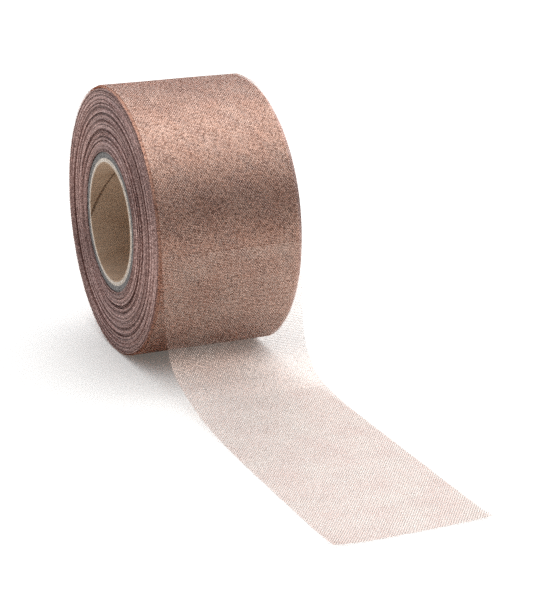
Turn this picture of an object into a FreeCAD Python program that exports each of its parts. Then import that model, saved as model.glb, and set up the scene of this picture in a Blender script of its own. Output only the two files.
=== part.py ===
"""Roll of woven copper wire ribbon on a spiral-wound paper core, with its free end laid out.

Millimetres. +X is the way the free end runs from the roll, +Y is the roll's axis, +Z is up,
and the origin is the middle of the ribbon's width on the axis of the core's bore.
The ribbon leaves the front of the roll, hangs straight down, curves out and lies on the floor.
"""

import FreeCAD, Part

import math
import os

import Sketcher

DRIVING_SIZES = [
    # alias, value, what it is
    ("bore_diameter", 40.6, "inside of the core"),
    ("liner_ply", 0.5, "thickness of the kraft ply that lines the bore"),
    ("cream_ply", 0.65, "thickness of each cream board ply"),
    ("grey_ply", 0.5, "thickness of each grey board ply"),
    ("wrap_ply", 0.5, "thickness of the smooth outer ply of the core"),
    ("core_length", 51.0, "length of the core"),
    ("core_shift", -0.5, "middle of the core along the axis"),
    ("ribbon_width", 50.0, "slit width of the ribbon"),
    ("ribbon_thickness", 0.2, "thickness given to one layer of ribbon"),
    ("roll_diameter", 92.7, "outside of the roll over its last turn"),
    ("wrap_step", 0.3, "how far the last turn closes in over one full turn"),
    ("pack_gap", 0.3, "least room between the turns of the pack and the last turn"),
    ("lead_gap", 0.15, "room for the lead to swing round the roll"),
    ("lead_shift", 0.6, "how far the last turn and the lead sit to the right of the pack"),
    ("bend_radius", 19.5, "radius of the bend in the hanging stretch"),
    ("bend_angle", 62.0, "degrees that the ribbon turns through in that bend"),
    ("toe_radius", 51.2, "radius of the long curve that brings it down to the floor"),
    ("lead_reach", 176.7, "distance from the axis to the cut end"),
    ("telescope", 0.7, "how far the innermost turns stand out past the outermost"),
    ("ridge", 0.25, "how far every other band of turns stands out"),
    ("tape_width", 30.0, "width of the tape that holds the ribbon's first end"),
    ("tape_angle", 40.0, "degrees of the core that the tape covers"),
    ("tape_thickness", 0.15, "thickness of that tape"),
]
GREY_PLIES = 3
FACE_BANDS = 8


class Size:
    """A number together with the expression that works it out from the sheet."""

    def __init__(self, value, text):
        self.value = float(value)
        self.text = text

    def combine(self, other, sign, value):
        other_text = other.text if isinstance(other, Size) else repr(float(other))
        return Size(value, f"({self.text} {sign} {other_text})")

    def __add__(self, other):
        return self.combine(other, "+", self.value + number(other))

    def __sub__(self, other):
        return self.combine(other, "-", self.value - number(other))

    def __mul__(self, other):
        return self.combine(other, "*", self.value * number(other))

    def __truediv__(self, other):
        return self.combine(other, "/", self.value / number(other))

    def __neg__(self):
        return self * -1


def number(size):
    return size.value if isinstance(size, Size) else float(size)


def sine(angle):
    return Size(math.sin(math.radians(angle.value)), f"sin({angle.text} * 1 deg)")


def cosine(angle):
    return Size(math.cos(math.radians(angle.value)), f"cos({angle.text} * 1 deg)")


doc = FreeCAD.newDocument("copper_mesh_ribbon_roll")


def make_sheet():
    """The sheet of driving sizes, and one Size for each of its cells."""
    sheet = doc.addObject("Spreadsheet::Sheet", "sizes")
    cells = {}
    for row, (alias, value, meaning) in enumerate(DRIVING_SIZES, start=1):
        sheet.set(f"A{row}", meaning)
        sheet.set(f"B{row}", str(value))
        sheet.setAlias(f"B{row}", alias)
        cells[alias] = Size(value, f"sizes.{alias}")
    doc.recompute()
    return cells


size = make_sheet()
ZERO = Size(0, "0")
ONE = Size(1, "1")
STRAIGHT = None
NEAR = 0.001

bore_radius = size["bore_diameter"] / 2
core_radius = (
    bore_radius
    + size["liner_ply"]
    + size["cream_ply"] * 2
    + size["grey_ply"] * GREY_PLIES
    + size["wrap_ply"]
)
roll_radius = size["roll_diameter"] / 2
under_radius = roll_radius - size["wrap_step"] / 2
lead_front = roll_radius + size["lead_gap"] + size["ribbon_thickness"]
pack_radius = roll_radius - size["wrap_step"] - size["ribbon_thickness"] - size["pack_gap"]
floor = -under_radius


# Helpers for bodies, sketches and pads


def bind(thing, name, length):
    """Sets a property from the sheet."""
    thing.setExpression(name, length.text)


def new_body(label, y=ZERO):
    """A body of its own for one sub-part, moved along the roll's axis by y."""
    body = doc.addObject("PartDesign::Body", label)
    body.Label = label
    body.Placement = FreeCAD.Placement(FreeCAD.Vector(0, y.value, 0), FreeCAD.Rotation())
    bind(body, "Placement.Base.y", y)
    return body


def new_sketch(body, role, name):
    """A sketch on one of the body's own origin planes."""
    sketch = body.newObject("Sketcher::SketchObject", name)
    plane = [face for face in body.Origin.OriginFeatures if face.Role == role][0]
    sketch.AttachmentSupport = [(plane, "")]
    sketch.MapMode = "FlatFace"
    return sketch


def constrain(sketch, kind, *where, length):
    """Adds a dimension and binds it to the sheet."""
    index = sketch.addConstraint(Sketcher.Constraint(kind, *where, length.value))
    sketch.setExpression(f"Constraints[{index}]", length.text)


def add_circle(sketch, radius):
    """A circle about the sketch's origin."""
    centre = FreeCAD.Vector(0, 0, 0)
    circle = Part.Circle(centre, FreeCAD.Vector(0, 0, 1), radius.value)
    index = sketch.addGeometry(circle, False)
    sketch.addConstraint(Sketcher.Constraint("Coincident", index, 3, -1, 1))
    constrain(sketch, "Radius", index, length=radius)


def add_edge(sketch, start, end, radius, left):
    """One edge of an outline. Returns its index, then its first and last point numbers."""
    first = FreeCAD.Vector(start[0].value, start[1].value, 0)
    last = FreeCAD.Vector(end[0].value, end[1].value, 0)
    if radius is STRAIGHT:
        return sketch.addGeometry(Part.LineSegment(first, last), False), 1, 2
    chord = last - first
    rise = radius.value - math.sqrt(max(radius.value**2 - chord.Length**2 / 4, 0))
    side = FreeCAD.Vector(-chord.y, chord.x, 0).normalize() * (rise if left else -rise)
    middle = (first + last) * 0.5 + side
    index = sketch.addGeometry(Part.Arc(first, middle, last), False)
    # A sketched arc always runs anticlockwise, so one that bulges left is stored reversed.
    return (index, 2, 1) if left else (index, 1, 2)


def add_outline(sketch, corners):
    """A closed outline. A corner is (x, y, radius, left): the edge after it is straight, or an
    arc of that radius that bulges to the left or right of its way."""
    edges = []
    for place, corner in enumerate(corners):
        following = corners[(place + 1) % len(corners)]
        radius, left = (corner + (STRAIGHT, False))[2:4]
        edges.append(add_edge(sketch, corner, following, radius, left) + (radius,))
    for place, (index, first, last, radius) in enumerate(edges):
        following = edges[(place + 1) % len(edges)]
        meet = Sketcher.Constraint("Coincident", index, last, following[0], following[1])
        sketch.addConstraint(meet)
        constrain(sketch, "DistanceX", -1, 1, index, first, length=corners[place][0])
        constrain(sketch, "DistanceY", -1, 1, index, first, length=corners[place][1])
        if radius is STRAIGHT:
            continue
        span = corners[place][0].value - corners[(place + 1) % len(corners)][0].value
        if abs(span) < 2 * radius.value - NEAR:
            constrain(sketch, "Radius", index, length=radius)
        else:
            # A half circle's ends already give its radius, so its centre is held instead.
            sketch.addConstraint(Sketcher.Constraint("PointOnObject", index, 3, -1))


def add_both_ways(body, kind, name, sketch, length):
    """A pad or pocket of the given length, half of it on each side of the sketch."""
    feature = body.newObject(kind, name)
    feature.Profile = sketch
    feature.SideType = "Symmetric"
    feature.Length = length.value
    bind(feature, "Length", length)
    doc.recompute()
    return feature


# The paper core: plies glued round each other


def make_ply(label, inner, thickness):
    """One ply of the core, a thin tube as long as the core. Returns its outer radius."""
    outer = inner + thickness
    body = new_body(label, size["core_shift"])
    sketch = new_sketch(body, "XZ_Plane", label + "_ring")
    add_circle(sketch, inner)
    add_circle(sketch, outer)
    add_both_ways(body, "PartDesign::Pad", label + "_tube", sketch, size["core_length"])
    return outer


radius = make_ply("core_liner", bore_radius, size["liner_ply"])
radius = make_ply("cream_ply_inner", radius, size["cream_ply"])
radius = make_ply("cream_ply_outer", radius, size["cream_ply"])
for ply in range(1, GREY_PLIES + 1):
    radius = make_ply(f"grey_ply_{ply}", radius, size["grey_ply"])
make_ply("core_wrap", radius, size["wrap_ply"])


# The tape that holds the ribbon's first end on the core


def tape_corners(inner, outer):
    """The tape's end view: a curved strip over the top of the core."""
    half = size["tape_angle"] / 2
    return [
        (-(inner * sine(half)), inner * cosine(half), inner, True),
        (inner * sine(half), inner * cosine(half)),
        (outer * sine(half), outer * cosine(half), outer, False),
        (-(outer * sine(half)), outer * cosine(half)),
    ]


def make_anchor_tape():
    body = new_body("anchor_tape")
    sketch = new_sketch(body, "XZ_Plane", "tape_section")
    outer = core_radius + size["tape_thickness"]
    add_outline(sketch, tape_corners(core_radius, outer))
    add_both_ways(body, "PartDesign::Pad", "tape_strip", sketch, size["tape_width"])


make_anchor_tape()


# The wound turns under the last one


def make_wound_ribbon():
    """The pack of turns, with stepped faces because the turns wander sideways as they are
    wound, and with room for the tape in its bore."""
    body = new_body("wound_ribbon")
    sketch = new_sketch(body, "XY_Plane", "pack_half_section")
    half_width = size["ribbon_width"] / 2
    band = (pack_radius - core_radius) / FACE_BANDS
    near_face = []
    far_face = []
    for step in range(FACE_BANDS):
        shift = size["telescope"] * (1 - step / (FACE_BANDS - 1)) + size["ridge"] * (step % 2)
        for edge in (step, step + 1):
            near_face.append((core_radius + band * edge, -half_width - shift))
            far_face.append((core_radius + band * edge, half_width - shift))
    add_outline(sketch, near_face + far_face[::-1])
    pack = body.newObject("PartDesign::Revolution", "pack_turns")
    pack.Profile = sketch
    pack.ReferenceAxis = (sketch, ["V_Axis"])
    pack.Angle = 360
    doc.recompute()

    room = new_sketch(body, "XZ_Plane", "tape_room_section")
    ceiling = core_radius + size["tape_thickness"]
    # The cut starts a little inside the bore, so that no sliver is left along it.
    add_outline(room, tape_corners(core_radius - size["tape_thickness"], ceiling))
    full_volume = body.Shape.Volume
    add_both_ways(body, "PartDesign::Pocket", "tape_room", room, size["tape_width"])
    if body.Shape.Volume >= full_volume:
        raise RuntimeError("the room for the tape cut nothing")


make_wound_ribbon()


# The last turn, the bend down to the floor and the free end: one ribbon in three stretches


def half_ring(centre_x, outer, above):
    """Half of a thin ring over or under the X axis."""
    inner = outer - size["ribbon_thickness"]
    return [
        (centre_x + outer, ZERO, outer, not above),
        (centre_x - outer, ZERO),
        (centre_x - inner, ZERO, inner, above),
        (centre_x + inner, ZERO),
    ]


def make_outer_turn():
    """Over the top it lies at the roll's full radius. Underneath it closes in by the step, so
    that its end passes just behind the place where the ribbon leaves the roll."""
    body = new_body("outer_turn", size["lead_shift"])
    over = new_sketch(body, "XZ_Plane", "turn_over_the_top")
    add_outline(over, half_ring(ZERO, roll_radius, True))
    add_both_ways(body, "PartDesign::Pad", "upper_half", over, size["ribbon_width"])
    under = new_sketch(body, "XZ_Plane", "turn_underneath")
    add_outline(under, half_ring(-size["wrap_step"] / 2, under_radius, False))
    add_both_ways(body, "PartDesign::Pad", "lower_half", under, size["ribbon_width"])


def bend_corners():
    """Side view of the hanging stretch, down its underside and back up its upper side."""
    thickness = size["ribbon_thickness"]
    toe_angle = 90 - size["bend_angle"].value
    toe = Size(toe_angle, f"(90 - {size['bend_angle'].text})")
    bend = size["bend_angle"]
    sides = []
    for offset in (thickness, ZERO):
        first = size["bend_radius"] + offset
        second = size["toe_radius"] + offset
        hang_x = lead_front - offset
        foot_z = floor + thickness - offset
        mid_x = hang_x + first * (ONE - cosine(bend))
        mid_z = foot_z + second * (ONE - cosine(toe))
        hang_z = mid_z + first * sine(bend)
        foot_x = mid_x + second * sine(toe)
        sides.append([(hang_x, ZERO), (hang_x, hang_z), (mid_x, mid_z), (foot_x, foot_z)])
    (top, hang, middle, foot), (top_2, hang_2, middle_2, foot_2) = sides
    under_first = size["bend_radius"] + thickness
    under_second = size["toe_radius"] + thickness
    corners = [
        top,
        hang + (under_first, False),
        middle + (under_second, False),
        foot,
        foot_2 + (size["toe_radius"], True),
        middle_2 + (size["bend_radius"], True),
        hang_2,
        top_2,
    ]
    return corners, foot[0]


def make_lead_bend():
    corners, _ = bend_corners()
    body = new_body("lead_bend", size["lead_shift"])
    sketch = new_sketch(body, "XZ_Plane", "bend_side_view")
    add_outline(sketch, corners)
    add_both_ways(body, "PartDesign::Pad", "bend_strip", sketch, size["ribbon_width"])


def make_lead_flat():
    """The stretch that lies on the floor, from the foot of the bend to the cut end."""
    _, foot_x = bend_corners()
    strip = doc.addObject("Part::Box", "lead_flat")
    strip.Label = "lead_flat"
    bind(strip, "Length", size["lead_reach"] - foot_x)
    bind(strip, "Width", size["ribbon_width"])
    bind(strip, "Height", size["ribbon_thickness"])
    bind(strip, "Placement.Base.x", foot_x)
    bind(strip, "Placement.Base.y", size["lead_shift"] - size["ribbon_width"] / 2)
    bind(strip, "Placement.Base.z", floor)


make_outer_turn()
make_lead_bend()
make_lead_flat()


# Checks, then one file for each sub-part


def write_parts():
    doc.recompute()
    for thing in doc.Objects:
        if "Invalid" in thing.State or "Error" in thing.State:
            raise RuntimeError(f"{thing.Name} did not build: {thing.State}")
    kinds = ("PartDesign::Body", "Part::Box")
    parts = [thing for thing in doc.Objects if thing.TypeId in kinds]
    for part in parts:
        if part.Shape.isNull() or not part.Shape.isValid() or len(part.Shape.Solids) != 1:
            raise RuntimeError(f"{part.Label} is not one sound solid")
    os.makedirs("parts", exist_ok=True)
    for part in parts:
        part.Shape.exportStep(f"parts/{part.Label}.step")
        box = part.Shape.BoundBox
        print(
            f"{part.Label}: x {box.XMin:.2f} to {box.XMax:.2f},"
            f" y {box.YMin:.2f} to {box.YMax:.2f}, z {box.ZMin:.2f} to {box.ZMax:.2f},"
            f" volume {part.Shape.Volume:.1f}"
        )


write_parts()
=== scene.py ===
# %% [markdown]
# # A roll of copper wire mesh ribbon
# The real thing is one long ribbon, 50 mm wide, woven from copper wire as thin as hair. It is wound
# about a hundred times on a paperboard core. The last length hangs from the front of the roll and
# runs out along the table. One layer is see-through, and a hundred layers are a solid brown pack.
#
# The model could be solid shapes with a weave painted on, but paint has no holes: the lead would
# hide the floor. So every visible layer of ribbon is made of real wires, and only the inside of the
# pack, which nobody sees, is one solid.

# %% Load the frame
import math
import bmesh
import bpy
import numpy as np
from mathutils import Matrix, Vector


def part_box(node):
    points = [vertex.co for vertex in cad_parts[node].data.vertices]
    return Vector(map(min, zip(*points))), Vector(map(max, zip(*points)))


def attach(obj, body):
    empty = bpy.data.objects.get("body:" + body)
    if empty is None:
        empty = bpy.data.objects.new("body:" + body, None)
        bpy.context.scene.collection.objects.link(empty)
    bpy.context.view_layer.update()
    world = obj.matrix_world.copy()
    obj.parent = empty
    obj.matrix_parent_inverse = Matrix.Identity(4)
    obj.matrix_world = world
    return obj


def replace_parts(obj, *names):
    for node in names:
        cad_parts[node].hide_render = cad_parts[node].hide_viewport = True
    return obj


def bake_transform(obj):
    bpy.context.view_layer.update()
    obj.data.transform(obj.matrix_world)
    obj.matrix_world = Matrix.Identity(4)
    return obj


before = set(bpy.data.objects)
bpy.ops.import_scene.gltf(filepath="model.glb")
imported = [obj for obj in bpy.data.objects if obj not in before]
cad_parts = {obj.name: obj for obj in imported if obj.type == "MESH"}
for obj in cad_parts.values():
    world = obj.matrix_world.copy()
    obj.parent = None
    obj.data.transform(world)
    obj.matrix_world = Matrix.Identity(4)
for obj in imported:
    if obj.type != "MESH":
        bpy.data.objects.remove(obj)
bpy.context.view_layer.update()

# %% [markdown]
# The measures come from the CAD nodes, so the pieces fit without any fitting. The roll's axis is
# the world's Y axis, the ribbon leads off towards +X, and the floor is the lowest point of the box.

# %% Measures from the frame
MM = 0.001


def outer_radius(node):
    """Half the height of a round node about the roll's axis."""
    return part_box(node)[1][2]


ROLL_RADIUS = outer_radius("outer_turn")
CORE_RADIUS = outer_radius("core_wrap")
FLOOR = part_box("lead_flat")[0][2]
LEAD_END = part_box("lead_flat")[1][0]
LEAD_MIDDLE = (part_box("lead_flat")[0][1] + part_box("lead_flat")[1][1]) / 2
PACK_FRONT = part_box("wound_ribbon")[0][1]
PACK_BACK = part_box("wound_ribbon")[1][1]
print("roll radius", round(ROLL_RADIUS / MM, 2), "mm, floor at", round(FLOOR / MM, 2), "mm")

# %% [markdown]
# ## The camera
# The camera looks down on the roll from its front left. It stands about 15 roll radii away, so the
# roll hardly narrows with distance. Where it looks and its own sideways are given as unit vectors,
# and TILT is a very small turn about the line of sight, in radians.

# %% The camera
LOOK = Vector((-0.86875, 0.38182, -0.31542)).normalized()
ACROSS = Vector((0.40236, 0.91548, 0)).normalized()
STAND = Vector((13.138, -5.066, 3.962)) * 46.4 * MM
TILT = -0.0029
LENS = 114.85


def aim_camera():
    """Place the camera and make it the scene's own."""
    lens = bpy.data.cameras.new("camera")
    lens.lens = LENS
    lens.sensor_width = 36
    lens.clip_start = 0.01
    eye = bpy.data.objects.new("camera", lens)
    bpy.context.scene.collection.objects.link(eye)
    upward = ACROSS.cross(LOOK)
    right = ACROSS * math.cos(TILT) - upward * math.sin(TILT)
    top = ACROSS * math.sin(TILT) + upward * math.cos(TILT)
    turned = Matrix((right, top, -LOOK)).transposed().to_4x4()
    eye.matrix_world = Matrix.Translation(STAND) @ turned
    bpy.context.scene.camera = eye
    return eye


eye = aim_camera()
print("camera at", [round(c, 3) for c in eye.location])

# %% [markdown]
# ## The studio
# Bare copper shows what is around it, so the light is a part of the finish. The table is white,
# soft light comes from above and behind, and the room in front is dim. The dim part shows in the
# roll as its dark stripe, and the table lights its lower half from below. A few lamps could do the
# same, but a sky that gets brighter in steps gives the roll one smooth change of tone. SKY lists
# the steps, from the dim side to the bright side. The grain of the gauze is real detail, which
# denoising would wipe away, so it is off.

# %% The studio
BRIGHT_SIDE = Vector((-0.55, 0.20, 0.81)).normalized()
SKY = ((0.0, 0.12), (0.37, 0.12), (0.51, 0.23), (0.645, 0.53), (0.795, 0.96), (0.91, 1.29), (1.0, 1.42))


def light_room():
    """A sky that is dim behind the camera and bright overhead and behind the roll.
    The camera itself sees plain white past the table's far edge."""
    world = bpy.data.worlds.new("studio")
    world.use_nodes = True
    bpy.context.scene.world = world
    nodes = world.node_tree.nodes
    links = world.node_tree.links
    way = nodes.new("ShaderNodeTexCoord")
    facing = nodes.new("ShaderNodeVectorMath")
    facing.operation = "DOT_PRODUCT"
    facing.inputs[1].default_value = BRIGHT_SIDE
    half = nodes.new("ShaderNodeMapRange")
    half.inputs["From Min"].default_value = -1.0
    ramp = nodes.new("ShaderNodeValToRGB")
    links.new(way.outputs["Generated"], facing.inputs[0])
    links.new(facing.outputs["Value"], half.inputs["Value"])
    links.new(half.outputs[0], ramp.inputs[0])
    stops = ramp.color_ramp.elements
    while len(stops) < len(SKY):
        stops.new(0.5)
    for stop, (height, glow) in zip(stops, SKY):
        stop.position = height
        stop.color = (glow * 0.97, glow, glow * 1.05, 1)
    seen = nodes.new("ShaderNodeLightPath")
    mix = nodes.new("ShaderNodeMix")
    mix.data_type = "RGBA"
    mix.inputs["B"].default_value = (1, 1, 1, 1)
    links.new(seen.outputs["Is Camera Ray"], mix.inputs["Factor"])
    links.new(ramp.outputs[0], mix.inputs["A"])
    links.new(mix.outputs["Result"], nodes["Background"].inputs["Color"])
    nodes["Background"].inputs["Strength"].default_value = 1.0


def hang_sun(name, way, strength, width):
    """A soft far light. way points from the object to the light."""
    lamp = bpy.data.lights.new(name, "SUN")
    lamp.energy = strength
    lamp.angle = math.radians(width)
    obj = bpy.data.objects.new(name, lamp)
    bpy.context.scene.collection.objects.link(obj)
    obj.rotation_euler = Vector(way).to_track_quat("Z", "Y").to_euler()
    return obj


light_room()
key = hang_sun("key_light", (0.10, 0.28, 1.0), 1.25, 70)
key.data.color = (1.0, 0.975, 0.93)
rim = hang_sun("rim_light", (-0.85, 0.35, 0.42), 0.42, 60)
rim.data.color = (0.90, 0.97, 1.0)

bpy.context.scene.view_settings.view_transform = "Standard"
bpy.context.scene.view_settings.look = "None"
bpy.context.scene.cycles.use_denoising = False
print("sky steps:", len(SKY))

# %% [markdown]
# The table is one flat square, far wider than the view, and glows a very little so that its
# shadows stay soft. It belongs to the stage and not to the roll.

# %% The table
def lay_table(half):
    """A plain pale floor under the roll, well past everything in view."""
    bm = bmesh.new()
    bmesh.ops.create_grid(bm, x_segments=2, y_segments=2, size=half)
    bmesh.ops.translate(bm, vec=(0, 0, FLOOR - 0.02 * MM), verts=bm.verts)
    mesh = bpy.data.meshes.new("table")
    bm.to_mesh(mesh)
    bm.free()
    obj = bpy.data.objects.new("table", mesh)
    bpy.context.scene.collection.objects.link(obj)
    paint = bpy.data.materials.new("table_white")
    paint.use_nodes = True
    shader = paint.node_tree.nodes["Principled BSDF"]
    shader.inputs["Base Color"].default_value = (0.94, 0.925, 0.90, 1)
    shader.inputs["Roughness"].default_value = 0.7
    shader.inputs["Specular IOR Level"].default_value = 0.2
    shader.inputs["Emission Color"].default_value = (1, 0.975, 0.90, 1)
    shader.inputs["Emission Strength"].default_value = 0.09
    mesh.materials.append(paint)
    return obj


table = lay_table(2.6)
print("table:", [round(s, 2) for s in table.dimensions])

# %% [markdown]
# ## Finishes
# A finish is a small tree of nodes. The first helper starts one with its shader. The others add
# what every finish here needs: noise, a colour ramp, a range, a product, a mix, and a bump. The
# noise sits still on its piece, because it reads Object coordinates.

# %% Helpers for finishes
def new_finish(name, metallic, roughness):
    """A material with one Principled shader. Gives the material, its nodes, links and shader."""
    finish = bpy.data.materials.new(name)
    finish.use_nodes = True
    nodes = finish.node_tree.nodes
    shader = nodes["Principled BSDF"]
    shader.inputs["Metallic"].default_value = metallic
    shader.inputs["Roughness"].default_value = roughness
    return finish, nodes, finish.node_tree.links, shader


def noise_on(nodes, links, scale, detail=2.0, stretch=(1, 1, 1)):
    """Noise on Object coordinates, stretched along the axes. Gives its output socket."""
    place = nodes.new("ShaderNodeTexCoord")
    mapping = nodes.new("ShaderNodeMapping")
    mapping.inputs["Scale"].default_value = stretch
    noise = nodes.new("ShaderNodeTexNoise")
    noise.inputs["Scale"].default_value = scale
    noise.inputs["Detail"].default_value = detail
    links.new(place.outputs["Object"], mapping.inputs[0])
    links.new(mapping.outputs[0], noise.inputs["Vector"])
    return noise.outputs[0]


def ramp_of(nodes, links, source, *stops):
    """A colour ramp fed by source. Each stop is a position and a colour."""
    ramp = nodes.new("ShaderNodeValToRGB")
    steps = ramp.color_ramp.elements
    while len(steps) < len(stops):
        steps.new(0.5)
    for step, (position, colour) in zip(steps, stops):
        step.position = position
        step.color = (*colour, 1)
    links.new(source, ramp.inputs[0])
    return ramp.outputs[0]


def range_of(nodes, links, source, low, high, start=0.0, end=1.0):
    """Spread source, from start to end, over low to high."""
    spread = nodes.new("ShaderNodeMapRange")
    spread.inputs["From Min"].default_value = start
    spread.inputs["From Max"].default_value = end
    spread.inputs["To Min"].default_value = low
    spread.inputs["To Max"].default_value = high
    links.new(source, spread.inputs["Value"])
    return spread.outputs[0]


def times(nodes, links, first, second):
    """Multiply one colour socket by another."""
    mix = nodes.new("ShaderNodeMix")
    mix.data_type = "RGBA"
    mix.blend_type = "MULTIPLY"
    mix.inputs["Factor"].default_value = 1.0
    links.new(first, mix.inputs["A"])
    links.new(second, mix.inputs["B"])
    return mix.outputs["Result"]


def mix_of(nodes, links, share, first, second):
    """Mix two colour sockets by a share socket."""
    mix = nodes.new("ShaderNodeMix")
    mix.data_type = "RGBA"
    links.new(share, mix.inputs["Factor"])
    links.new(first, mix.inputs["A"])
    links.new(second, mix.inputs["B"])
    return mix.outputs["Result"]


def bump_by(nodes, links, shader, height, depth):
    """Raise the surface by a height socket, depth in metres."""
    bump = nodes.new("ShaderNodeBump")
    bump.inputs["Strength"].default_value = 1.0
    bump.inputs["Distance"].default_value = depth
    links.new(height, bump.inputs["Height"])
    links.new(bump.outputs[0], shader.inputs["Normal"])


# %% [markdown]
# All the metal is bare copper, in five states. The outermost gauze is bright with tarnished specks,
# and the flat lead is cleaner. The turns underneath get a painted shade, for the shade they sit in.
# Most cut ends at the faces are darkened by a painted shade, and some are bright copper. In a plain
# weave the warp is on top at every other crossing, and the two sets of wires gleam differently.
# Three-sided wires can't show that by themselves, so the woven pieces carry an attribute, crown,
# and their finish has a painted shade where it is 0, at the crossings where the weft is on top.

# %% The copper finishes
def copper_wire(name, dull, clean, roughness, spot=(0.40, 0.33, 0.30), dip_shade=None):
    """Drawn copper wire, with faint patches and many fine tarnished spots. With a tone given for the
    crossings where the weft is on top, it is a painted shade there, and the others stay bright."""
    finish, nodes, links, shader = new_finish(name, 1.0, roughness)
    patch = ramp_of(nodes, links, noise_on(nodes, links, 90, 3), (0.3, dull), (0.7, clean))
    spots = noise_on(nodes, links, 1300, 1.5)
    tarnish = ramp_of(nodes, links, spots, (0.34, spot), (0.54, (1.0, 1.0, 1.0)))
    colour = times(nodes, links, patch, tarnish)
    if dip_shade:
        crown = nodes.new("ShaderNodeAttribute")
        crown.attribute_name = "crown"
        tone = ramp_of(nodes, links, crown.outputs["Fac"], (0.2, dip_shade), (0.8, (1.0, 1.0, 1.0)))
        colour = times(nodes, links, colour, tone)
    links.new(colour, shader.inputs["Base Color"])
    return finish


def shaded_copper_pack():
    """Edges of a hundred layers: copper with a painted shade all over, deeper in rings about the axis,
    for grooves.
    """
    finish, nodes, links, shader = new_finish("shaded_copper_pack", 1.0, 0.45)
    place = nodes.new("ShaderNodeTexCoord")
    flat = nodes.new("ShaderNodeVectorMath")
    flat.operation = "MULTIPLY"
    flat.inputs[1].default_value = (1, 0, 1)
    size = nodes.new("ShaderNodeVectorMath")
    size.operation = "LENGTH"
    links.new(place.outputs["Object"], flat.inputs[0])
    links.new(flat.outputs[0], size.inputs[0])
    rings = nodes.new("ShaderNodeTexNoise")
    rings.noise_dimensions = "1D"
    rings.inputs["Scale"].default_value = 900
    rings.inputs["Detail"].default_value = 4
    links.new(size.outputs["Value"], rings.inputs["W"])
    grain = noise_on(nodes, links, 1500, 2)
    ring = rings.outputs[0]
    # dark is the deeper painted shade of the grooves, and light the lighter painted shade between them.
    dark = ramp_of(nodes, links, ring, (0.4, (0.05, 0.02, 0.018)), (0.6, (0.24, 0.135, 0.12)))
    light = ramp_of(nodes, links, ring, (0.4, (0.18, 0.085, 0.07)), (0.6, (0.66, 0.46, 0.42)))
    share = range_of(nodes, links, grain, 0.0, 1.0, 0.35, 0.65)
    links.new(mix_of(nodes, links, share, dark, light), shader.inputs["Base Color"])
    bump_by(nodes, links, shader, grain, 0.0003)
    return finish


# The last tone of each woven finish is a painted shade at the crossings where the weft is on top; the
# flat lead's painted shade is deeper.
COPPER = copper_wire(
    "copper_wire", (0.98, 0.70, 0.59), (1.0, 0.83, 0.735), 0.40,
    spot=(0.50, 0.44, 0.41), dip_shade=(0.62, 0.55, 0.52),
)
CLEAN = copper_wire(
    "clean_copper_wire", (0.95, 0.66, 0.56), (1.0, 0.83, 0.73), 0.42,
    spot=(0.85, 0.82, 0.80), dip_shade=(0.20, 0.13, 0.10),
)
BRIGHT = copper_wire("bright_copper_wire", (0.86, 0.58, 0.48), (0.98, 0.72, 0.62), 0.40)
# The turns underneath get a painted shade in their colour, for the shade of the turns above them.
SHADED = copper_wire("shaded_copper_wire", (0.60, 0.32, 0.215), (0.82, 0.48, 0.345), 0.5)
# Most cut ends at the faces get this painted shade; the bright ones keep copper's own colour.
STUBS = copper_wire("cut_copper_wire_painted_shade", (0.31, 0.195, 0.17), (0.55, 0.38, 0.335), 0.5)
PACK = shaded_copper_pack()
print("copper finishes:", [f.name for f in (COPPER, CLEAN, BRIGHT, SHADED, STUBS, PACK)])

# %% [markdown]
# Paperboard is matt and made of fibres. The bore is brown kraft paper with long flecks, the next
# plies are cream board, and the outer plies are grey recycled board. One helper makes them all from
# two tones, and only the tones, the size of the clouds and the share of flecks differ.

# %% The paper finishes
def paper(name, dark, light, scale, stretch, flecks=0.0):
    """Matt paper: soft clouds of two tones, fine fibres, and a few dark flecks."""
    finish, nodes, links, shader = new_finish(name, 0.0, 0.85)
    shader.inputs["Specular IOR Level"].default_value = 0.25
    clouds = noise_on(nodes, links, scale, 5, stretch)
    tone = ramp_of(nodes, links, clouds, (0.3, dark), (0.7, light))
    specks = noise_on(nodes, links, 900, 1, stretch)
    spot = range_of(nodes, links, specks, 0.0, flecks, 0.72, 0.77)
    brown = ramp_of(nodes, links, clouds, (0.3, (0.12, 0.06, 0.04)), (0.7, (0.2, 0.09, 0.06)))
    links.new(mix_of(nodes, links, spot, tone, brown), shader.inputs["Base Color"])
    fibres = noise_on(nodes, links, 2200, 3, stretch)
    bump_by(nodes, links, shader, fibres, 0.00012)
    return finish


KRAFT = paper("kraft_paper", (0.37, 0.25, 0.165), (0.50, 0.365, 0.26), 160, (1, 0.35, 1), 0.45)
# The brown seen in the liner's seam is darkened by a painted shade, for the shade in the narrow gap.
UNDER = paper("seam_kraft_painted_shade", (0.24, 0.15, 0.095), (0.32, 0.21, 0.14), 160, (1, 0.35, 1), 0.2)
CREAM = paper("cream_fibre", (0.56, 0.48, 0.40), (0.80, 0.72, 0.64), 700, (1, 1, 1), 0.15)
GREY = paper("grey_fibre", (0.17, 0.16, 0.155), (0.30, 0.285, 0.275), 700, (1, 1, 1), 0.5)
TAPE = paper("crepe_tape", (0.62, 0.55, 0.42), (0.74, 0.68, 0.56), 300, (4, 0.3, 1), 0.0)
print("paper finishes:", KRAFT.name, CREAM.name, GREY.name, TAPE.name)

# %% [markdown]
# ## The gauze
# The ribbon is a plain weave. Wires along it, the warp, and wires across it, the weft, pass over
# and under each other in turn. A sheet with a see-through pattern would cost far less, but it has
# no thickness, and the wires' own shadows and gleam are what makes gauze look like gauze. So each
# wire is a three-sided tube, because at this size nobody can see that it isn't round. A pair of
# neighbours is made once, with one ring of points per crossing that steps up or down, and an
# Array modifier repeats the pair across the ribbon.

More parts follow.
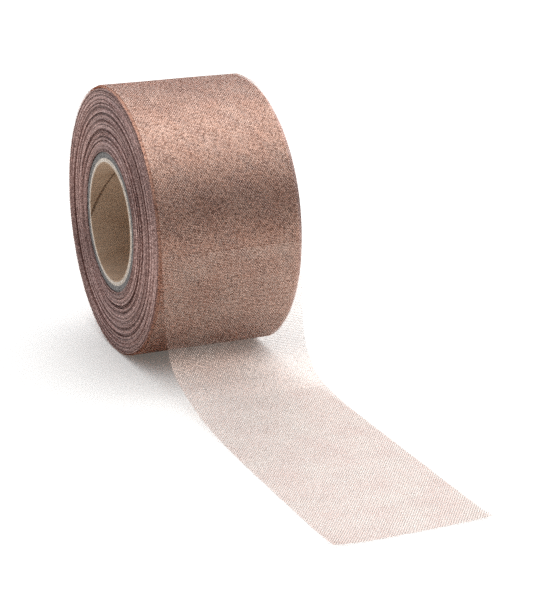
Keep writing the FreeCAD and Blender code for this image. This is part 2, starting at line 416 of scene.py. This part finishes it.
# %% Measures of the gauze
RIBBON = 50 * MM
WARPS = 118
WARP_PITCH = RIBBON / WARPS
WEFT_PITCH = 0.561 * MM
WIRE = 0.042 * MM
LIFT = 0.042 * MM
FUZZ = 0.42 * MM
print("warp pitch", round(WARP_PITCH / MM, 3), "mm, weft pitch", round(WEFT_PITCH / MM, 3), "mm")


# %% Helpers for a row of wires
def show(name, bm, *finishes):
    """Keep a finished bmesh as an object at the origin."""
    mesh = bpy.data.meshes.new(name)
    bm.to_mesh(mesh)
    bm.free()
    for finish in finishes:
        mesh.materials.append(finish)
    obj = bpy.data.objects.new(name, mesh)
    bpy.context.scene.collection.objects.link(obj)
    return obj


def repeated(obj, count, step):
    """Repeat an object's mesh with an Array modifier, and give the whole mesh."""
    rows = obj.modifiers.new("rows", "ARRAY")
    rows.count = count
    rows.use_relative_offset = False
    rows.use_constant_offset = True
    rows.constant_offset_displace = step
    seen = bpy.context.evaluated_depsgraph_get()
    mesh = bpy.data.meshes.new_from_object(obj.evaluated_get(seen))
    bpy.data.objects.remove(obj)
    return mesh


def wires(length, crossings, pitch, count, lift):
    """A row of wires along X, side by side along Y, that step up and down at each crossing."""
    bm = bmesh.new()
    for side in (0, 1):
        lay = Matrix.Translation((length / 2, side * pitch, 0))
        lay = lay @ Matrix.Rotation(math.pi / 2, 4, "Y") @ Matrix.Rotation(-math.pi / 2, 4, "Z")
        bmesh.ops.create_cone(
            bm, cap_ends=False, segments=3, radius1=WIRE, radius2=WIRE, depth=length, matrix=lay
        )
    if crossings > 1:
        long = [e for e in bm.edges if e.calc_length() > length / 2]
        bmesh.ops.subdivide_edges(bm, edges=long, cuts=crossings - 1, use_grid_fill=True)
    for v in bm.verts:
        ring = round(v.co.x / length * crossings)
        side = round(v.co.y / pitch)
        v.co.z += lift if (ring + side) % 2 else -lift
    return repeated(show("wires", bm), count // 2, (0, 2 * pitch, 0))


# %% [markdown]
# A flat strip of gauze is two rows of wires, one of them turned by a right angle. The helpers after
# it read and write all of a mesh's points at once, so that the flat strip can be bent into place.

# %% Helpers for a strip of gauze
def points_of(obj):
    """The points of a mesh as an array, one row each."""
    flat = np.empty(len(obj.data.vertices) * 3)
    obj.data.vertices.foreach_get("co", flat)
    return flat.reshape(-1, 3)


def move_points(obj, points):
    """Put the points of a mesh where the array says."""
    obj.data.vertices.foreach_set("co", np.ascontiguousarray(points).ravel())
    obj.data.update()


def gauze(name, wefts, steps=None, weft_steps=None, pitch=WEFT_PITCH, finish=COPPER):
    """A flat strip of gauze: X runs along it from 0, and Y across it, centred.
    With steps given, the warp has only that many steps and both sets of wires are straight."""
    length = wefts * pitch
    woven = steps is None
    warp = wires(length, steps or wefts, WARP_PITCH, WARPS, LIFT if woven else 0)
    across = (WARPS - 1) * WARP_PITCH
    weft = wires(across, weft_steps or WARPS - 1, pitch, wefts, -LIFT if woven else 0)
    bm = bmesh.new()
    bm.from_mesh(weft)
    bmesh.ops.rotate(bm, cent=(0, 0, 0), matrix=Matrix.Rotation(math.pi / 2, 3, "Z"), verts=bm.verts)
    bmesh.ops.scale(bm, vec=(-1, 1, 1), verts=bm.verts)
    bmesh.ops.reverse_faces(bm, faces=bm.faces)
    if not woven:
        bmesh.ops.translate(bm, vec=(0, 0, -LIFT), verts=bm.verts)
    bm.from_mesh(warp)
    if not woven:
        bmesh.ops.translate(bm, vec=(0, 0, LIFT / 2), verts=bm.verts)
    bmesh.ops.translate(bm, vec=(0, -across / 2, 0), verts=bm.verts)
    obj = show(name, bm, finish)
    obj["weft_points"] = len(weft.vertices)
    if woven:
        # crown is 0 at the crossings where the weft is on top, where the finish paints shade.
        points = points_of(obj)
        crossing = np.round(points[:, 0] / pitch) + np.round((points[:, 1] + across / 2) / WARP_PITCH)
        crown = obj.data.attributes.new("crown", "FLOAT", "POINT")
        crown.data.foreach_set("value", (crossing % 2).astype(np.float32))
    for mesh in (warp, weft):
        bpy.data.meshes.remove(mesh)
    return obj


# %% [markdown]
# Two things keep the cloth from looking printed. Its cut edges are frayed: every weft wire sticks
# out by its own small length. And its wires wander a little from straight.

# %% Helpers for the edges and the wander
def fray(piece, wefts, seed, pitch=WEFT_PITCH, fuzz=FUZZ):
    """The piece's points, with the cut ends of its weft wires a little way out past the edges."""
    points = points_of(piece)
    rng = np.random.default_rng(seed)
    reach = rng.uniform(0.05, 0.75, (2, wefts + 2)) ** 2 * fuzz
    reach[:, ::2] += rng.uniform(0.2, 0.6, reach[:, ::2].shape) * fuzz
    reach *= np.array([[1.5], [0.6]])
    half = (WARPS - 1) * WARP_PITCH / 2
    which = np.clip(np.round(points[:, 0] / pitch).astype(int), 0, wefts + 1)
    outside = np.abs(points[:, 1]) > half - 0.01 * MM
    outside[piece["weft_points"]:] = False
    del piece["weft_points"]
    side = (points[:, 1] > 0).astype(int)
    points[:, 1] += np.where(outside, np.sign(points[:, 1]) * reach[side, which], 0)
    return points


def wobble(points, seed, size):
    """Push the wires a little out of line, as in any soft cloth."""
    rng = np.random.default_rng(seed)
    s, y = points[:, 0].copy(), points[:, 1].copy()
    for wave in (0.8, 1.4, 2.6):
        lean = rng.uniform(0, 2 * math.pi, 4)
        turned_s = (s * math.cos(lean[2]) + y * math.sin(lean[2])) / (wave * MM)
        turned_y = (y * math.cos(lean[3]) + s * math.sin(lean[3])) / (wave * MM)
        points[:, 0] += size * np.sin(turned_s + lean[0])
        points[:, 1] += size * 0.7 * np.sin(turned_y + lean[1])
    return points


print("fray up to", round(FUZZ * 1.5 / MM, 2), "mm")

# %% [markdown]
# ## The lead
# The lead leaves the front of the roll, hangs straight, curves out and lies on the table. Its left
# edge stands a little further out than its right edge, because the ribbon twists slightly as it
# falls. A simulation could find this shape, but two lines give it exactly. Each edge is a smooth
# NURBS line seen from the side, in millimetres from where it leaves the roll, and the gauze is
# laid between the two.

# %% The two edges of the lead
TOUCH = ROLL_RADIUS + 0.18 * MM
REST = FLOOR + 0.12 * MM
RIGHT_EDGE = (
    (0, 0), (0, -9), (0.1, -18), (0.4, -27), (2.6, -35.8),
    (8.5, -42), (18, -45.2), (32, -46), (52, -46.1),
)
LEFT_EDGE = (
    (0, 0), (0.6, -9), (1.5, -18), (2.2, -26.5), (5, -33.5),
    (12, -38.6), (23, -42.2), (38, -44.8), (58, -46.1),
)
STRAIGHT_FROM = 0.130


def edge_line(name, hang):
    """A smooth line from the front of the roll down to the table and out to the cut end."""
    run = [(TOUCH + x * MM, z * MM) for x, z in hang]
    run = [(x, max(z, REST)) for x, z in run] + [(STRAIGHT_FROM, REST), (LEAD_END, REST)]
    curve = bpy.data.curves.new(name, "CURVE")
    curve.dimensions = "3D"
    curve.resolution_u = 30
    spline = curve.splines.new("NURBS")
    spline.points.add(len(run) - 1)
    for point, (x, z) in zip(spline.points, run):
        point.co = (x, 0, z, 1)
    spline.order_u = 4
    spline.use_endpoint_u = True
    obj = bpy.data.objects.new(name, curve)
    mesh = bpy.data.meshes.new_from_object(obj)
    line = np.array([(v.co.x, v.co.z) for v in mesh.vertices])
    bpy.data.objects.remove(obj)
    bpy.data.meshes.remove(mesh)
    far = np.concatenate(([0], np.cumsum(np.hypot(*np.diff(line, axis=0).T))))
    return line, far


right_line, right_far = edge_line("right_edge", RIGHT_EDGE)
left_line, left_far = edge_line("left_edge", LEFT_EDGE)
LEAD_LENGTH = (right_far[-1] + left_far[-1]) / 2
LEAD_WEFTS = 294
LEAD_PITCH = LEAD_LENGTH / LEAD_WEFTS
print("lead", round(LEAD_LENGTH / MM, 1), "mm long, weft pitch", round(LEAD_PITCH / MM, 4), "mm")


# %% Helpers for the lead
def on_lead(along, across):
    """Points of the lead's middle surface. along runs 0 to 1, across is in metres from its middle."""
    share = np.clip(across / RIBBON + 0.5, -0.02, 1.02)
    spots = []
    for line, far in ((left_line, left_far), (right_line, right_far)):
        gone = along * far[-1]
        spots.append([np.interp(gone, far, line[:, axis]) for axis in (0, 1)])
    x = spots[0][0] * (1 - share) + spots[1][0] * share
    z = spots[0][1] * (1 - share) + spots[1][1] * share
    s = along * LEAD_LENGTH / MM
    y = across / MM
    hung = np.clip(s / 20, 0, 1) * np.clip((120 - s) / 60, 0, 1)
    ripple = 0.10 * np.sin(s / 5.1 + y / 9.0) + 0.08 * np.sin(s / 3.3 - y / 5.7)
    x = x + hung * ripple * MM * 0.7
    z = z + (0.12 + ripple * 0.5) * MM * np.clip(s / 20, 0, 1)
    to_cut = np.clip(1 - (LEAD_LENGTH / MM - s) / 13, 0, 1)
    near_left = np.clip(1 - (25 + y) / 14, 0, 1.1)
    near_right = np.clip(1 - (25 - y) / 12, 0, 1.1)
    z = z + to_cut ** 2 * (0.9 * near_left ** 2 + 0.6 * near_right ** 2 + 0.1) * MM
    return np.stack([x, across + LEAD_MIDDLE, z], axis=1)


def lay_on_lead(points, start):
    """Lay flat gauze on the lead, its X from start metres down the lead."""
    flat = points + np.array([start, 0, 0])
    s, y, h = wobble(flat, 25, 0.006 * MM).T
    s = s + 0.10 * MM * np.sin(y / (7.3 * MM) + s / (11 * MM)) + 0.05 * MM * np.sin(y / (2.9 * MM))
    step = 0.2 * MM
    here = on_lead(s / LEAD_LENGTH, y)
    ahead = on_lead((s + step) / LEAD_LENGTH, y) - on_lead((s - step) / LEAD_LENGTH, y)
    aside = on_lead(s / LEAD_LENGTH, y + step) - on_lead(s / LEAD_LENGTH, y - step)
    up = np.cross(ahead, aside)
    up /= np.linalg.norm(up, axis=1)[:, None] + 1e-12
    over = np.maximum(s - LEAD_LENGTH, 0)
    here[:, 0] += over
    return here + up * h[:, None]


def cut_end(points, wefts, seed):
    """Snip the warp wires of the last piece, each a little longer or shorter."""
    rng = np.random.default_rng(seed)
    length = wefts * LEAD_PITCH
    snip = rng.uniform(-0.45, 0.25, WARPS + 1) * MM
    which = np.clip(np.round((points[:, 1] + RIBBON / 2) / WARP_PITCH).astype(int), 0, WARPS)
    at_end = points[:, 0] > length - 0.1 * MM
    points[:, 0] += np.where(at_end, snip[which], 0)
    return points


# %% [markdown]
# The strip is woven in three lengths. The first hangs, and rides with the lead. The last lies flat,
# and rides with the free end. The middle one lies across the line where the free end lifts, and
# is attached to neither.

# %% Weave the lead
LEAD_PARTS = ("hanging_gauze", "landing_gauze", "free_end_gauze")


def weave_lead():
    """Three lengths of gauze, because one would have too many wires for one piece."""
    wefts = LEAD_WEFTS // len(LEAD_PARTS)
    made = []
    for turn, name in enumerate(LEAD_PARTS):
        piece = gauze(name, wefts, pitch=LEAD_PITCH, finish=COPPER if turn == 0 else CLEAN)
        points = fray(piece, wefts, 10 + turn, LEAD_PITCH)
        if turn == len(LEAD_PARTS) - 1:
            points = cut_end(points, wefts, 20)
        move_points(piece, lay_on_lead(points, turn * wefts * LEAD_PITCH))
        made.append(piece)
    return made


hanging, landing, free_end = weave_lead()
for piece in (hanging, landing, free_end):
    spots = points_of(piece) / MM
    print(piece.name, spots.min(0).round(1), spots.max(0).round(1))
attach(hanging, "lead")
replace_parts(hanging, "lead_bend")
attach(free_end, "free_end")
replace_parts(free_end, "lead_flat")
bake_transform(landing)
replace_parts(landing, "lead_flat")

# %% [markdown]
# ## The turns on the roll
# The last turns are gauze too, and the turn underneath shows through the one above. Where two
# weaves of slightly different pitch lie over each other the eye sees slanting bands, which is the
# watered look of the real roll. From the fourth turn inwards nothing shows through any more. Just
# behind the top of the roll the turns stand off a little, because nothing pulls them down there.

# %% Helpers for the turns
SLACK_FROM = 91
SLACK_TO = 200


def on_roll(points, radius, start, middle, loose, skew=0.0):
    """Wind flat gauze round the roll. start is the angle of its first wire, in degrees, and loose is
    how far the turn stands off the roll behind its top, where nothing holds it down."""
    lean = np.random.default_rng(30).uniform(0, 2 * math.pi, 4)
    s, y, h = points[:, 0], points[:, 1], points[:, 2]
    turn = np.radians(start) - (s + skew * y) / radius
    uneven = 0.035 * np.sin(5 * turn + lean[0]) + 0.03 * np.sin(9 * turn + y / (11 * MM) + lean[1])
    uneven += 0.02 * np.sin(y / (5 * MM) + lean[2])
    angle = np.degrees(turn) % 360
    slack = np.clip((angle - SLACK_FROM) / 14, 0, 1) * np.clip((SLACK_TO - angle) / 45, 0, 1)
    slack = slack * slack * (3 - 2 * slack) * loose
    reach = radius + h + uneven * MM + slack
    drift = 0.12 * MM * np.sin(2 * turn + lean[3])
    return np.stack([reach * np.cos(turn), y + middle + drift, reach * np.sin(turn)], axis=1)


def wind_straight(name, radius, wefts, middle, loose, seed, skew):
    """One whole turn of straight wires, for the turns that only show through others."""
    pitch = 2 * math.pi * radius / wefts
    piece = gauze(name, wefts, 180, 12, pitch, SHADED)
    points = wobble(fray(piece, wefts, seed, pitch), seed, 0.06 * MM)
    move_points(piece, on_roll(points, radius, -90, middle, loose, skew))
    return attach(piece, "roll")


def wind_woven(name, radius, wefts, middle, loose, seed):
    """The outermost turn, in four quarters with every crossing modelled."""
    pitch = 2 * math.pi * radius / wefts
    made = []
    for quarter in range(4):
        piece = gauze(f"{name}_{quarter + 1}", wefts // 4, pitch=pitch)
        points = fray(piece, wefts // 4, seed + quarter, pitch, FUZZ * 0.5)
        move_points(piece, on_roll(points, radius, -90 * quarter, middle, loose))
        made.append(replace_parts(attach(piece, "roll"), "outer_turn"))
    return made


# %% Wind the last three turns
TURN_RADIUS = ROLL_RADIUS - 0.10 * MM
SECOND_RADIUS = TURN_RADIUS - 0.16 * MM
THIRD_RADIUS = TURN_RADIUS - 0.31 * MM
outer = wind_woven("outer_turn_gauze", TURN_RADIUS, 520, LEAD_MIDDLE - 0.1 * MM, 0.75 * MM, 31)
second = wind_straight("second_turn_gauze", SECOND_RADIUS, 536, -0.5 * MM, 0.5 * MM, 36, 0.012)
third = wind_straight("third_turn_gauze", THIRD_RADIUS, 500, -0.35 * MM, 0.25 * MM, 37, -0.02)
print("turns at", [round(r / MM, 2) for r in (TURN_RADIUS, SECOND_RADIUS, THIRD_RADIUS)], "mm")

# %% [markdown]
# ## The pack
# The wound pack is one solid of revolution, because nobody can look between its turns. Each turn's
# edge stands a little in or out of the next, so the two faces have fine rings, with a deeper step
# every few turns. A four-point outline is subdivided, so that it has one point for each turn, and
# spun about the axis. Its points are then moved in and out along the axis.

# %% Helpers for the pack
TURNS = 110
PACK_INSIDE = CORE_RADIUS + 0.2 * MM
PACK_OUTSIDE = TURN_RADIUS - 0.50 * MM


def turned(bm, corners, cuts=0, steps=256):
    """Spin a closed outline of radius and Y corners about the roll's axis."""
    spots = [bm.verts.new((r, y, 0)) for r, y in corners]
    rim = [bm.edges.new((a, b)) for a, b in zip(spots, spots[1:] + spots[:1])]
    if cuts:
        spans = [(e, e.verts[0].co - e.verts[1].co) for e in rim]
        radial = [e for e, span in spans if abs(span.x) > 2 * abs(span.y)]
        bmesh.ops.subdivide_edges(bm, edges=radial, cuts=cuts)
    bmesh.ops.spin(
        bm, geom=bm.verts[:] + bm.edges[:], cent=(0, 0, 0), axis=(0, 1, 0), dvec=(0, 0, 0),
        angle=2 * math.pi, steps=steps, use_merge=True, use_duplicate=False,
    )
    bmesh.ops.remove_doubles(bm, verts=bm.verts, dist=1e-6)
    bmesh.ops.recalc_face_normals(bm, faces=bm.faces)


def face_relief(radius, angle, seed):
    """How far the face stands out at each point, in metres: single proud turns, and slow wander."""
    rng = np.random.default_rng(seed)
    rows = np.linspace(23.5, 46.5, TURNS + 3)
    each_turn = rng.uniform(-0.16, 0.16, rows.size)
    spot = 2
    while spot < rows.size:
        each_turn[spot] += rng.uniform(0.18, 0.42)
        each_turn[spot - 1] -= rng.uniform(0.05, 0.20)
        spot += rng.integers(3, 9)
    lean = rng.uniform(0, 2 * math.pi, 4)
    r = radius / MM + 0.14 * np.sin(angle + lean[0]) + 0.04 * np.sin(3 * angle + lean[1])
    fine = np.interp(r, rows, each_turn)
    slow = 0.07 * np.sin(r / 2.9 + lean[2]) + 0.03 * np.sin(r / 1.1 + lean[3])
    proud = 0.75 * np.clip((30 - r) / 5.5, 0, 1) ** 0.7
    return (fine + slow + proud) * MM


# %% Turn the pack
def turn_pack():
    """The solid pack, with both faces in relief."""
    bm = bmesh.new()
    front, back = PACK_FRONT + 0.45 * MM, PACK_BACK + 0.25 * MM
    corners = ((PACK_INSIDE, front), (PACK_OUTSIDE, front), (PACK_OUTSIDE, back), (PACK_INSIDE, back))
    turned(bm, corners, TURNS, 300)
    piece = show("wound_pack", bm, PACK)
    spots = points_of(piece)
    radius = np.hypot(spots[:, 0], spots[:, 2])
    angle = np.arctan2(spots[:, 2], spots[:, 0])
    for side, seed in ((-1, 41), (1, 42)):
        here = np.sign(spots[:, 1]) == side
        spots[:, 1] += np.where(here, side * face_relief(radius, angle, seed), 0)
    move_points(piece, spots)
    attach(piece, "roll")
    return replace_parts(piece, "wound_ribbon")


pack = turn_pack()
print("pack:", len(pack.data.polygons), "faces")

# %% [markdown]
# ## Cut wire ends
# The ribbon was slit from a wider cloth, so every weft wire ends in a tiny cut stub at the edge.
# Thousands of them make the faces of the roll look like a fine brush, and the longest stand round
# the rim. Noise on the finish could hint at them, but not at the rough outline they give the roll.
# One stub is a three-sided spike. An Array modifier makes as many as are needed, and each is then
# moved to its own place.

# %% Helpers for the wire ends
BRIGHT_SHARE = 0.34


def brush(name, spots_at, side, lengths, seed):
    """Stubs of wire on one face of the pack, at the given radii and angles. One in three is bright
    copper, and the rest are darkened by a painted shade.
    """
    radius, angle = spots_at
    count = radius.size
    bm = bmesh.new()
    bmesh.ops.create_cone(bm, cap_ends=False, segments=3, radius1=1, radius2=0, depth=1)
    bmesh.ops.remove_doubles(bm, verts=bm.verts, dist=1e-4)
    stub = show("stub", bm)
    corners = len(stub.data.vertices)
    mesh = repeated(stub, count, (0, 0, 0))
    mesh.name = name
    for finish in (STUBS, BRIGHT):
        mesh.materials.append(finish)
    piece = bpy.data.objects.new(name, mesh)
    bpy.context.scene.collection.objects.link(piece)
    rng = np.random.default_rng(seed)
    bright = (rng.uniform(0, 1, count) < BRIGHT_SHARE).astype(np.int32)
    mesh.polygons.foreach_set("material_index", np.repeat(bright, len(mesh.polygons) // count))
    spots = points_of(piece).reshape(count, corners, 3)
    face = PACK_FRONT + 0.45 * MM if side < 0 else PACK_BACK + 0.25 * MM
    level = face + side * face_relief(radius, angle, 41 if side < 0 else 42)
    long = rng.uniform(*lengths, count) * MM
    thick = rng.uniform(0.028, 0.05, count) * MM
    tilt = rng.normal(0, 0.30, (2, count))
    up = (spots[:, :, 2] + 0.5) * long[:, None]
    sideways = spots[:, :, 0] * thick[:, None] + up * tilt[0][:, None]
    outward = spots[:, :, 1] * thick[:, None] + up * tilt[1][:, None]
    reach = radius[:, None] + outward
    swing = angle[:, None] + sideways / radius[:, None]
    spots[:, :, 0] = reach * np.cos(swing)
    spots[:, :, 1] = level[:, None] + side * (up - 0.05 * MM)
    spots[:, :, 2] = reach * np.sin(swing)
    move_points(piece, spots.reshape(-1, 3))
    if side < 0:
        piece.data.flip_normals()
    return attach(piece, "roll")


def all_over(count, seed):
    """Places spread evenly over a face."""
    rng = np.random.default_rng(seed)
    radius = np.sqrt(rng.uniform(PACK_INSIDE ** 2, PACK_OUTSIDE ** 2, count))
    return radius, rng.uniform(-math.pi, math.pi, count)


def round_the_rim(count, seed):
    """Places in a ring at the rim, one for every second weft wire, in three turns."""
    rng = np.random.default_rng(seed)
    angle = np.linspace(-math.pi, math.pi, count, endpoint=False)
    angle = np.concatenate([angle + rng.normal(0, 0.002, count) + turn * 0.004 for turn in range(3)])
    return PACK_OUTSIDE - np.repeat((0.1, 0.35, 0.6), count) * MM, angle


# %% Brush both faces
front_brush = brush("front_wire_ends", all_over(36000, 51), -1, (0.10, 0.42), 53)
back_brush = brush("back_wire_ends", all_over(30000, 52), 1, (0.10, 0.42), 54)
front_rim = brush("front_rim_fringe", round_the_rim(260, 55), -1, (0.40, 0.85), 56)
back_rim = brush("back_rim_fringe", round_the_rim(260, 57), 1, (0.20, 0.50), 58)
for piece in (front_brush, back_brush, front_rim, back_rim):
    print(piece.name, len(piece.data.polygons) // 3, "wires")

# %% [markdown]
# ## The core
# A paperboard tube is wound from strips of paper, each laid on the last in a long spiral. The
# innermost strip is kraft paper, and the gap between its neighbouring edges is the slanting line
# in the bore. It is modelled as the strip it is: a sheet, sheared, trimmed to the length of the
# tube, thickened and rolled up. The other plies only show their cut ends, so they are spun rings.

# %% The kraft liner
SEAM_PITCH = 60 * MM
SEAM_GAP = 1.0 * MM
SEAM_ANGLE = 190.8


def wind_liner():
    """The strip that lines the bore, with an open seam between its edges."""
    low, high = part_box("core_liner")
    inner, outer_r = high[2] - 0.5 * MM, high[2]
    bm = bmesh.new()
    turns = 3
    bmesh.ops.create_grid(bm, x_segments=turns * 160, y_segments=24, size=0.5)
    for v in bm.verts:
        turn = v.co.x * turns
        v.co.y = (v.co.y + 0.5) * (SEAM_PITCH - SEAM_GAP) + low[1] - turn * SEAM_PITCH
        v.co.x = turn * 2 * math.pi
    for spot, way in ((low[1], -1), (high[1], 1)):
        bmesh.ops.bisect_plane(
            bm, geom=bm.verts[:] + bm.edges[:] + bm.faces[:], dist=1e-7,
            plane_co=(0, spot, 0), plane_no=(0, way, 0), clear_outer=True,
        )
    bmesh.ops.triangulate(bm, faces=[f for f in bm.faces if len(f.verts) > 4])
    skin = bm.faces[:]
    made = bmesh.ops.extrude_face_region(bm, geom=skin)
    raised = {v for v in made["geom"] if isinstance(v, bmesh.types.BMVert)}
    start = math.radians(SEAM_ANGLE)
    for v in bm.verts:
        turn = start + v.co.x
        reach = outer_r if v in raised else inner
        v.co.x, v.co.z = reach * math.cos(turn), reach * math.sin(turn)
    bmesh.ops.recalc_face_normals(bm, faces=bm.faces)
    piece = show("kraft_liner", bm, KRAFT)
    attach(piece, "roll")
    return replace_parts(piece, "core_liner")


liner = wind_liner()
print("liner:", len(liner.data.polygons), "faces")

# %% [markdown]
# Each of the other plies is a plain ring, a hair's breadth from its neighbours. Their ends stand in
# and out by up to a tenth of a millimetre, as cut board does, and every point of them is a little
# rough. The cream ply's inner face shows through the liner's seam, so it is brown there, and a
# painted shade makes it darker than the liner, for the shade in the narrow seam.

# %% The other plies
PLIES = (
    ("cream_ply_inner", CREAM, "cream_board", 0.10),
    ("cream_ply_outer", CREAM, "cream_board", -0.02),
    ("grey_ply_1", GREY, "grey_board", 0.06),
    ("grey_ply_2", GREY, "grey_board", -0.05),
    ("grey_ply_3", GREY, "grey_board", 0.03),
    ("core_wrap", GREY, "grey_board", -0.08),
)


def wind_ply(node, finish, proud, inside, seed):
    """One ply of the tube, with rough, slightly uneven cut ends."""
    low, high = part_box(node)
    outside = high[2] - 0.01 * MM
    bm = bmesh.new()
    front, back = low[1] - proud * MM + 0.1 * MM, high[1] + proud * MM - 0.1 * MM
    turned(bm, ((inside, front), (outside, front), (outside, back), (inside, back)), 4, 360)
    rough = np.random.default_rng(seed).uniform(-0.05, 0.05, len(bm.verts)) * MM
    for v, step in zip(bm.verts, rough):
        v.co.y += step
    bm.normal_update()
    # Faces that look into the bore get the brown with a painted shade, seen through the liner's seam.
    if node == "cream_ply_inner":
        for face in bm.faces:
            middle = face.calc_center_median()
            outward = face.normal.dot(Vector((middle.x, 0, middle.z)))
            face.material_index = int(outward < -0.5 * middle.length)
    piece = show(node + "_paper", bm, finish, UNDER)
    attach(piece, "roll")
    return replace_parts(piece, node)


def wind_plies():
    """Each ply starts where the one inside it ends."""
    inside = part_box("core_liner")[1][2] + 0.01 * MM
    made = []
    for number, (node, finish, slot, proud) in enumerate(PLIES):
        made.append(wind_ply(node, finish, proud, inside, 60 + number))
        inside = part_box(node)[1][2] + 0.01 * MM
    return made


plies = wind_plies()
print("plies:", [p.name for p in plies])

# %% [markdown]
# A short strip of paper tape holds the first end of the ribbon on the core. The pack hides it, so
# the CAD node itself is kept, and only gets its finish.

# %% The anchor tape
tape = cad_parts["anchor_tape"]
for place in tape.material_slots:
    place.material = TAPE
print("tape finish:", tape.material_slots[0].material.name)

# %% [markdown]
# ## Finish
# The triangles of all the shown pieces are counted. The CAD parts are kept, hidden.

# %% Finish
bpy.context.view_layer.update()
shown = [p for p in bpy.data.objects if p.type == "MESH" and not p.hide_render]
faces = sum(sum(len(f.vertices) - 2 for f in p.data.polygons) for p in shown)
print("triangles:", faces)
